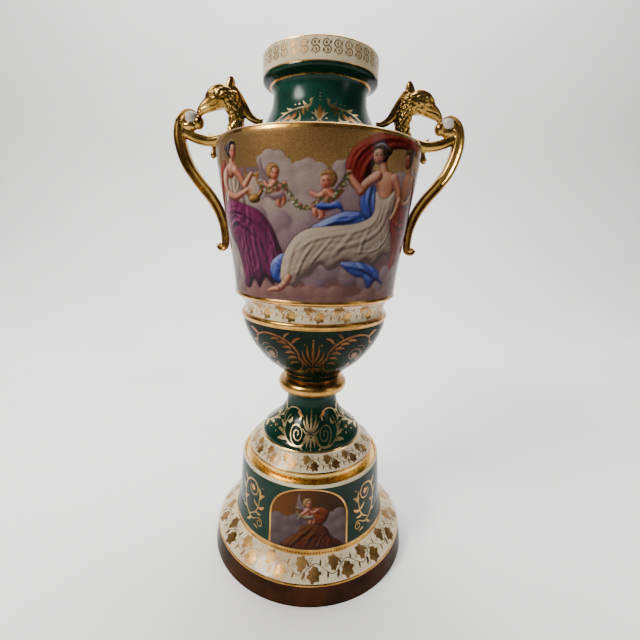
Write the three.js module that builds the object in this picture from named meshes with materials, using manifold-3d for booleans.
// Two-handled porcelain mantel urn on a drum pedestal.
//
// Millimetres, +Z up. The origin is the middle of the pedestal's underside, and the handles lie
// in the XZ plane. The vase, the foot and the pedestal are hollow bodies of revolution that stand
// one on the other. Each handle is one casting: a fluted strap that rises from the body to a
// volute with a pearl, an arm back to the shoulder, and an eagle's head and neck on that arm,
// whose crest runs down to the neck of the vase.

import * as THREE from 'three';
import { mergeVertices } from 'three/addons/utils/BufferGeometryUtils.js';
import Module from 'manifold-3d';

const wasm = await Module();
wasm.setup();

// ---------------------------------------------------------------- driving dimensions

const SEAT_GAP = 0.3;          // joint between two pieces that touch
const WALL = 5.2;              // thrown wall of the vase

const SIDES_WIDE = 34;         // facets round the vase and the pedestal
const SIDES_SLIM = 30;         // facets round the foot

const RIM = { top: 560, bottom: 537.4, radius: 61.9, mouth: 54.4, edge: 1.8 };
const NECK = { top: 529.4, topRadius: 53, waist: 521, waistRadius: 50.4 };
const SHOULDER = { height: 470, radius: 111.2, neckHeight: 475.6, neckRadius: 76 };
const BODY = { bottom: 314, bottomRadius: 91.4 };
const LIP = { height: 311.6, radius: 92.4 };
const CAVETTO = { top: 308, height: 295.5, bottom: 290, radius: 81.4 };
const BEAD = { height: 286.6, radius: 85.2, half: 2.6 };
const VASE_SEAT = { height: 207, radius: 32.3 };

const KNOP = { height: 198.4, radius: 41.3, half: 7.4, seatRadius: 34 };
const STEM = { height: 182, radius: 29.9 };
const DOME = { height: 138.4, radius: 59.2 };
const SKIRT = { height: 123, radius: 75.2 };
const FOOT_RING = { radius: 76, bottomRadius: 75.6, inner: 69.6 };

const RECESS = { height: 110, radius: 79.8 };
const DRUM = { top: 113.2, topRadius: 83.4, bottom: 59, bottomRadius: 87.7 };
const MOULDING = { height: 40, radius: 91.9 };
const FLANGE = { height: 24, radius: 111.2 };
const PLINTH = { top: 20.8, lip: 113.9, topRadius: 114.4, bottomRadius: 117.5, inner: 107.5 };

// ---------------------------------------------------------------- outlines

const at = (radius, height) => new THREE.Vector2(radius, height);

// Points along a smooth curve through the given points.
function through(count, ...points) {
  return new THREE.SplineCurve(points).getPoints(count);
}

// Points along an elliptic arc from one angle to another, in degrees.
function arc(count, radius, height, halfWidth, halfHeight, from, to) {
  return Array.from({ length: count + 1 }, (_, i) => {
    const angle = THREE.MathUtils.degToRad(from + ((to - from) * i) / count);
    return at(radius + halfWidth * Math.cos(angle), height + halfHeight * Math.sin(angle));
  });
}

// Turns a profile about +Z. It runs up its outside and down its inside.
function lathe(profile, sides) {
  return new THREE.LatheGeometry(profile, sides).rotateX(Math.PI / 2);
}

// The outside of the vase, from its seat up to the mouth.
function vaseOutside() {
  const bowl = through(6,
    at(VASE_SEAT.radius + 3, 213.5), at(46.5, 224), at(59.6, 236), at(73, 254), at(81.2, 272),
    at(BEAD.radius - 1.4, BEAD.height - BEAD.half));
  const cavetto = through(3,
    at(CAVETTO.radius + 0.8, CAVETTO.bottom), at(CAVETTO.radius, CAVETTO.height),
    at(83.4, 302.5), at(LIP.radius - 2.8, CAVETTO.top + 0.6));
  const body = through(3,
    at(BODY.bottomRadius, BODY.bottom), at(94.6, 344), at(103.4, 404), at(109, 441),
    at(SHOULDER.radius, SHOULDER.height - 6));
  const shoulder = [
    at(SHOULDER.radius - 0.5, SHOULDER.height), at(SHOULDER.radius - 3.4, SHOULDER.height + 2.4)];
  const neck = through(6,
    at(SHOULDER.neckRadius + 8, SHOULDER.neckHeight - 0.9), at(66, 482.5), at(57, 496.5),
    at(52, 509), at(NECK.waistRadius, NECK.waist), at(NECK.topRadius, NECK.top));
  const ovolo = arc(3, NECK.topRadius + 0.8, RIM.bottom - 0.6, RIM.radius - NECK.topRadius, 6, -62, 0);
  return [
    at(VASE_SEAT.radius, VASE_SEAT.height),
    ...bowl,
    at(BEAD.radius, BEAD.height),
    ...cavetto,
    at(LIP.radius, LIP.height),
    ...body,
    ...shoulder,
    ...neck,
    ...ovolo,
    at(RIM.radius, RIM.bottom + 1.4),
    at(RIM.radius, RIM.top - RIM.edge),
    at(RIM.radius - RIM.edge, RIM.top),
  ];
}

// The inside of the vase, from the mouth down to the floor.
function vaseInside() {
  return [
    at(RIM.mouth + RIM.edge, RIM.top),
    at(RIM.mouth, RIM.top - RIM.edge),
    ...through(3,
      at(RIM.mouth - 1.2, 545), at(NECK.waistRadius - WALL, NECK.waist), at(51.4, 496.5),
      at(62, 479.5), at(SHOULDER.neckRadius, SHOULDER.neckHeight - WALL)),
    at(SHOULDER.radius - WALL - 2, SHOULDER.height - 3.4),
    at(SHOULDER.radius - WALL, SHOULDER.height - 9),
    at(103.4 - WALL, 404),
    at(BODY.bottomRadius - WALL, BODY.bottom + 2),
    at(CAVETTO.radius - WALL, CAVETTO.height),
    ...through(3, at(77.6, 283), at(73.4, 266), at(60, 244), at(40, 225.5), at(12, 217.5)),
  ];
}

function vaseProfile() {
  return [at(0, VASE_SEAT.height), ...vaseOutside(), ...vaseInside(), at(0, 217)];
}

function footProfile() {
  const top = VASE_SEAT.height - SEAT_GAP;
  const seat = RECESS.height + SEAT_GAP;
  return [
    at(0, top),
    at(VASE_SEAT.radius - 0.4, top),
    ...arc(6, KNOP.seatRadius, KNOP.height, KNOP.radius - KNOP.seatRadius, KNOP.half, 84, -84),
    ...through(7,
      at(31.4, 188.6), at(STEM.radius, STEM.height), at(31.6, 172), at(37.8, 161), at(50, 149.2),
      at(DOME.radius - 1.4, 142.4), at(DOME.radius, DOME.height)),
    at(DOME.radius + 1.4, DOME.height - 1.6),
    at(66.6, 131.2),
    at(SKIRT.radius, SKIRT.height),
    at(FOOT_RING.radius, SKIRT.height - 2.4),
    at(FOOT_RING.bottomRadius, seat),
    at(FOOT_RING.inner, seat),
    at(FOOT_RING.inner, 119),
    at(54, 134.5),
    at(46, 145.5),
    at(27, 164),
    at(23.6, 182),
    at(23.6, 194),
    at(0, 197),
  ].reverse();
}

function pedestalProfile() {
  return [
    at(0, RECESS.height),
    at(RECESS.radius, RECESS.height),
    at(RECESS.radius + 1.8, DRUM.top),
    at(DRUM.topRadius, DRUM.top - 0.8),
    at(84.7, 102.5),
    at(86, 84),
    ...through(4,
      at(DRUM.bottomRadius, DRUM.bottom), at(89.2, 53), at(91.4, 46.5),
      at(MOULDING.radius, MOULDING.height)),
    at(MOULDING.radius + 0.4, 37.4),
    at(101.4, 31.8),
    at(FLANGE.radius, FLANGE.height),
    at(PLINTH.lip, PLINTH.top + 0.6),
    at(PLINTH.topRadius, PLINTH.top - 2.4),
    at(PLINTH.bottomRadius, 0),
    at(PLINTH.inner, 0),
    at(PLINTH.inner - 1.5, 15),
    at(87, 30.5),
    at(81.6, 58),
    at(78, 103.4),
    at(0, 103.4),
  ].reverse();
}

// ---------------------------------------------------------------- solids

function toSolid(geometry) {
  const bare = geometry.clone();
  bare.deleteAttribute('normal');
  bare.deleteAttribute('uv');
  const welded = mergeVertices(bare, 1e-4);
  const corners = welded.index.array;
  const kept = [];
  for (let i = 0; i < corners.length; i += 3) {
    const [a, b, c] = corners.slice(i, i + 3);
    if (a !== b && b !== c && c !== a) kept.push(a, b, c);
  }
  return new wasm.Manifold(new wasm.Mesh({
    numProp: 3,
    vertProperties: new Float32Array(welded.attributes.position.array),
    triVerts: new Uint32Array(kept),
  }));
}

function toGeometry(solid) {
  const mesh = solid.getMesh();
  const geometry = new THREE.BufferGeometry();
  geometry.setAttribute('position', new THREE.BufferAttribute(new Float32Array(mesh.vertProperties), 3));
  geometry.setIndex(new THREE.BufferAttribute(new Uint32Array(mesh.triVerts), 1));
  geometry.computeVertexNormals();
  return geometry;
}

const join = (solids) => solids.reduce((whole, next) => whole.add(next));

// Cross-sections for a limb: pairs of (share of the half thickness, share of the half width).
const round = (corners) => Array.from({ length: corners }, (_, i) => {
  const angle = (i * 2 * Math.PI) / corners;
  return [Math.cos(angle), Math.sin(angle)];
});
const FLUTED = [
  [1, 0], [0.6, 0.94], [0, 0.66], [-0.6, 0.94], [-0.95, 0], [-0.6, -0.94], [0, -0.66], [0.6, -0.94],
];

// A limb in the XZ plane. Each station is [x, z, half thickness, half width]; the limb runs
// smoothly through them and closes to a point at both ends.
function limb(stations, section, steps) {
  const line = new THREE.CatmullRomCurve3(stations.map(([x, z]) => new THREE.Vector3(x, 0, z)));
  const size = new THREE.CatmullRomCurve3(stations.map(([, , t, w]) => new THREE.Vector3(t, w, 0)));
  const positions = [];
  const index = [];
  const count = section.length;
  for (let step = 0; step <= steps; step += 1) {
    const place = line.getPoint(step / steps);
    const tangent = line.getTangent(step / steps);
    const half = size.getPoint(step / steps);
    section.forEach(([across, out]) => positions.push(
      place.x + tangent.z * across * half.x, out * half.y, place.z - tangent.x * across * half.x));
  }
  for (let step = 0; step < steps; step += 1) {
    for (let i = 0; i < count; i += 1) {
      const a = step * count + i;
      const b = step * count + ((i + 1) % count);
      index.push(a, b, a + count, b, b + count, a + count);
    }
  }
  const ends = [line.getPoint(0), line.getPoint(1)];
  ends.forEach((end) => positions.push(end.x, end.y, end.z));
  const tail = count * (steps + 1);
  for (let i = 0; i < count; i += 1) {
    const next = (i + 1) % count;
    index.push(tail, next, i);
    index.push(tail + 1, steps * count + i, steps * count + next);
  }
  const geometry = new THREE.BufferGeometry();
  geometry.setAttribute('position', new THREE.BufferAttribute(new Float32Array(positions), 3));
  geometry.setIndex(index);
  return toSolid(geometry);
}

function ball(x, y, z, radius, stretch = [1, 1, 1]) {
  const geometry = new THREE.SphereGeometry(radius, 7, 4);
  geometry.scale(...stretch);
  geometry.translate(x, y, z);
  return toSolid(geometry);
}

// ---------------------------------------------------------------- handle

const PEARL = { x: 141, z: 498.6, radius: 6.6 };
const EYE = { x: 114.6, y: 8, z: 525.4, radius: 2.2 };
const FEATHER = 11;

// The strap, from the curled foot on the body up round the outside to the volute.
function strap() {
  return limb([
    [113.4, 361.6, 3.2, 4], [109.6, 358, 4.2, 5], [105.2, 360.4, 4.2, 5.2], [105, 370, 4.4, 5.2],
    [106.6, 384, 5, 5.6], [111.8, 400, 5.8, 6.2], [121, 415.4, 6.2, 6.8], [133.6, 431, 6.4, 7.2],
    [145.2, 448.4, 6.6, 7.4], [152, 467, 6.6, 7.4], [154.2, 483, 6.2, 7.2], [151.6, 497, 5, 6.8],
    [143.6, 504.6, 3.4, 5.8], [136.4, 504, 2.4, 4.6],
  ], FLUTED, 16);
}

// The bud in which the volute ends, and the pearl that it holds.
function volute() {
  return join([
    ball(PEARL.x, 0, PEARL.z, PEARL.radius),
    ball(132.6, 0, 494, 6, [0.95, 1, 1.25]),
    ball(142.6, 0, 490, 6, [1.6, 1, 0.9]),
  ]);
}

// The arm from the strap back over the edge of the shoulder, its leaf tip and its drop.
function arm() {
  return join([
    limb([[150, 484, 4, 5], [142, 480.4, 4.6, 5.6], [131, 477, 4.6, 5.6], [118, 475.4, 5.2, 6],
      [106, 477.4, 6, 7], [96, 477.6, 6.4, 7]], round(6), 6),
    limb([[112, 479, 2, 3], [122.4, 483.6, 0.6, 1]], round(4), 1),
    limb([[114.2, 474, 2.6, 3.2], [115.6, 466, 2, 2.4], [116.6, 459.4, 3.2, 3.2],
      [116.8, 456.2, 1, 1]], round(6), 3),
  ]);
}

// Neck, head and hooked beak, as one limb from the shoulder to the tip of the beak.
function eagle() {
  const mass = limb([
    [97, 473.6, 12, 8], [92.4, 484, 8.6, 7.2], [90.4, 496, 6.8, 6.6], [91.2, 508, 8.4, 7.6],
    [96, 519, 11.6, 9.6], [105, 523.8, 12.6, 10.2], [114.6, 521.6, 11.6, 9.4],
    [121.4, 516.4, 8, 6.6], [127, 512.8, 4.6, 4.6], [131, 508.8, 3.2, 3], [132.6, 505.4, 0.7, 0.7],
  ], round(8), 14);
  const brows = [1, -1].map((side) => limb([
    [104, 531, 1.6, 2], [113, 530.4, 3, 3.2], [123, 523.4, 1.4, 1.6],
  ], round(5), 2).translate(0, side * 5.4, 0));
  const eyes = [1, -1].map((side) => ball(EYE.x, side * EYE.y, EYE.z, EYE.radius));
  const ears = [1, -1].map((side) => limb([
    [97.6, 526, 3.6, 2.2], [95, 534.6, 2.6, 1.8], [92.2, 542.4, 0.5, 0.5],
  ], round(4), 2).translate(0, side * 4, 0));
  return join([mass, ...brows, ...eyes, ...ears]);
}

// Pointed feathers over the cheek and the back of the neck, from the top one down.
function feathers() {
  const roots = [[101, 525.6, 8.2, 212], [97, 514, 7.4, 240]];
  return roots.flatMap(([x, z, out, turn]) => {
    const angle = THREE.MathUtils.degToRad(turn);
    const tip = [x + FEATHER * Math.cos(angle), z + FEATHER * Math.sin(angle)];
    return [1, -1].map((side) => (
      limb([[x, z, 3, 2.2], [...tip, 0.5, 0.6]], round(4), 1).translate(0, side * out, 0)));
  });
}

// The crest that braces the head against the neck of the vase, the leaf under it and the stay
// behind the neck.
function crest() {
  return join([
    limb([[94, 530, 5, 5], [87.4, 520.6, 4, 4.4], [79, 509.4, 3.2, 3.8], [70, 500.4, 3, 3.6],
      [59, 495.4, 3.4, 4]], round(6), 6),
    limb([[88, 512, 3, 3], [79.6, 496, 0.6, 0.8]], round(4), 1),
    limb([[88.6, 500, 3, 4], [84, 488, 2.4, 3.4], [80, 473, 3.4, 4.4]], round(4), 2),
  ]);
}

// The vase's outside, grown by the joint gap, which trims whatever is set against it.
function vaseEnvelope() {
  const outside = vaseOutside();
  const grown = outside.map((point, i) => {
    const before = outside[Math.max(i - 1, 0)];
    const after = outside[Math.min(i + 1, outside.length - 1)];
    const run = after.clone().sub(before).normalize();
    return at(point.x + run.y * SEAT_GAP, point.y - run.x * SEAT_GAP);
  });
  return toSolid(lathe([at(0, grown[0].y), ...grown, at(0, RIM.top + SEAT_GAP)], SIDES_WIDE));
}

function handleGeometry() {
  const whole = join([strap(), volute(), arm(), eagle(), crest(), ...feathers()]);
  return toGeometry(whole.subtract(vaseEnvelope()));
}

// ---------------------------------------------------------------- materials and assembly

const finish = (color, roughness, metalness) => (
  new THREE.MeshStandardMaterial({ color, roughness, metalness }));

const PAINTED = finish(0x8a7a62, 0.25, 0);
const GREEN = finish(0x16382a, 0.18, 0);
const IVORY = finish(0xe6ddc8, 0.22, 0);
const GILT = finish(0xb8862f, 0.24, 1);

function named(name, geometry, material) {
  const mesh = new THREE.Mesh(geometry, material);
  mesh.name = name;
  return mesh;
}

const urn = new THREE.Group();
urn.add(named('vase', lathe(vaseProfile(), SIDES_WIDE), PAINTED));
urn.add(named('foot', lathe(footProfile(), SIDES_SLIM), GREEN));
urn.add(named('pedestal', lathe(pedestalProfile(), SIDES_WIDE), IVORY));

const handle = handleGeometry();
const right = named('handle_right', handle, GILT);
const left = named('handle_left', handle, GILT);
left.rotation.z = Math.PI;
urn.add(right, left);

export default urn;
